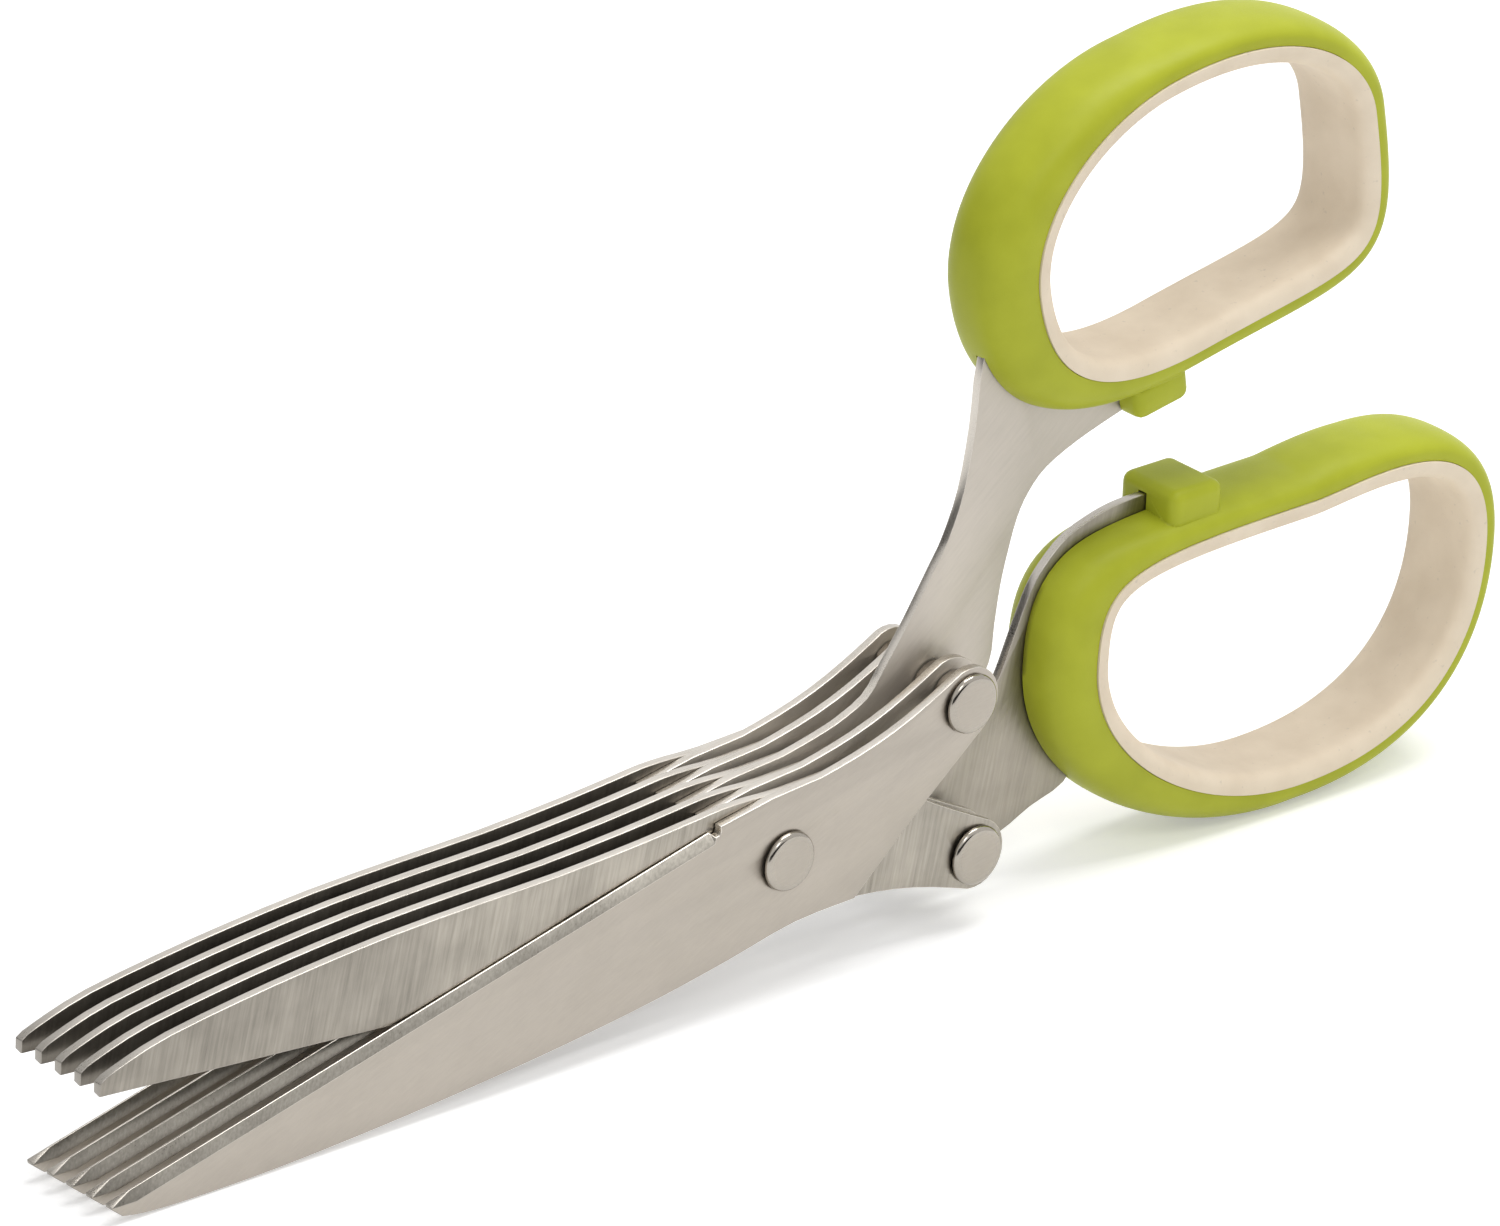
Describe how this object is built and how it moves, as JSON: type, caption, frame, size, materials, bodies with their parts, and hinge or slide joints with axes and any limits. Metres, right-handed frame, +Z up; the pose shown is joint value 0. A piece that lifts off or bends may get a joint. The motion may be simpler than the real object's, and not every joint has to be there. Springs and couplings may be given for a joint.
{
  "type": "herb scissors",
  "caption": "Herb scissors standing on edge, part open: parallel steel blade pairs on one riveted pivot, two looped plastic handles with soft-looking liners.",
  "frame": {"origin": "Middle of the bounding box on the floor that the scissors stand on: the lower blades' spines and the lower handle touch that floor. The scissors are part open, as they stand.", "axes": "+X runs from the blade tips to the handles, +Y through the stack of blades along the pivot axis, away from the face that is seen first, +Z up."},
  "size_m": [0.1878, 0.0158, 0.0901],
  "materials": {
    "blade_steel": "satin ground stainless steel",
    "rivet_steel": "smoother satin steel",
    "shell_green": "satin yellow-green moulded plastic",
    "liner_cream": "matt cream moulded plastic"
  },
  "bodies": {
    "upper_handle_half": {"lower_blade_1": "blade_steel", "lower_blade_2": "blade_steel", "lower_blade_3": "blade_steel", "lower_blade_4": "blade_steel", "lower_blade_5": "blade_steel", "pivot_rivet": "rivet_steel", "pivot_washer_1": "rivet_steel", "pivot_washer_2": "rivet_steel", "pivot_washer_3": "rivet_steel", "pivot_washer_4": "rivet_steel", "upper_tail_rivet": "rivet_steel", "upper_tail_spacer_1": "rivet_steel", "upper_tail_spacer_2": "rivet_steel", "upper_tail_spacer_3": "rivet_steel", "upper_tail_spacer_4": "rivet_steel", "upper_handle_shell": "shell_green", "upper_handle_liner": "liner_cream"},
    "lower_handle_half": {"upper_blade_1": "blade_steel", "upper_blade_2": "blade_steel", "upper_blade_3": "blade_steel", "upper_blade_4": "blade_steel", "upper_blade_5": "blade_steel", "lower_tail_rivet": "rivet_steel", "lower_tail_spacer_1": "rivet_steel", "lower_tail_spacer_2": "rivet_steel", "lower_tail_spacer_3": "rivet_steel", "lower_tail_spacer_4": "rivet_steel", "lower_handle_shell": "shell_green", "lower_handle_liner": "liner_cream"}
  },
  "joints": [
    {"name": "blade_pivot", "type": "hinge", "parent": "upper_handle_half", "child": "lower_handle_half", "pos_m": [-0.00605, 0, 0.01519], "axis": [0, 1, 0], "range_deg": [-10.2, 25]}
  ]
}
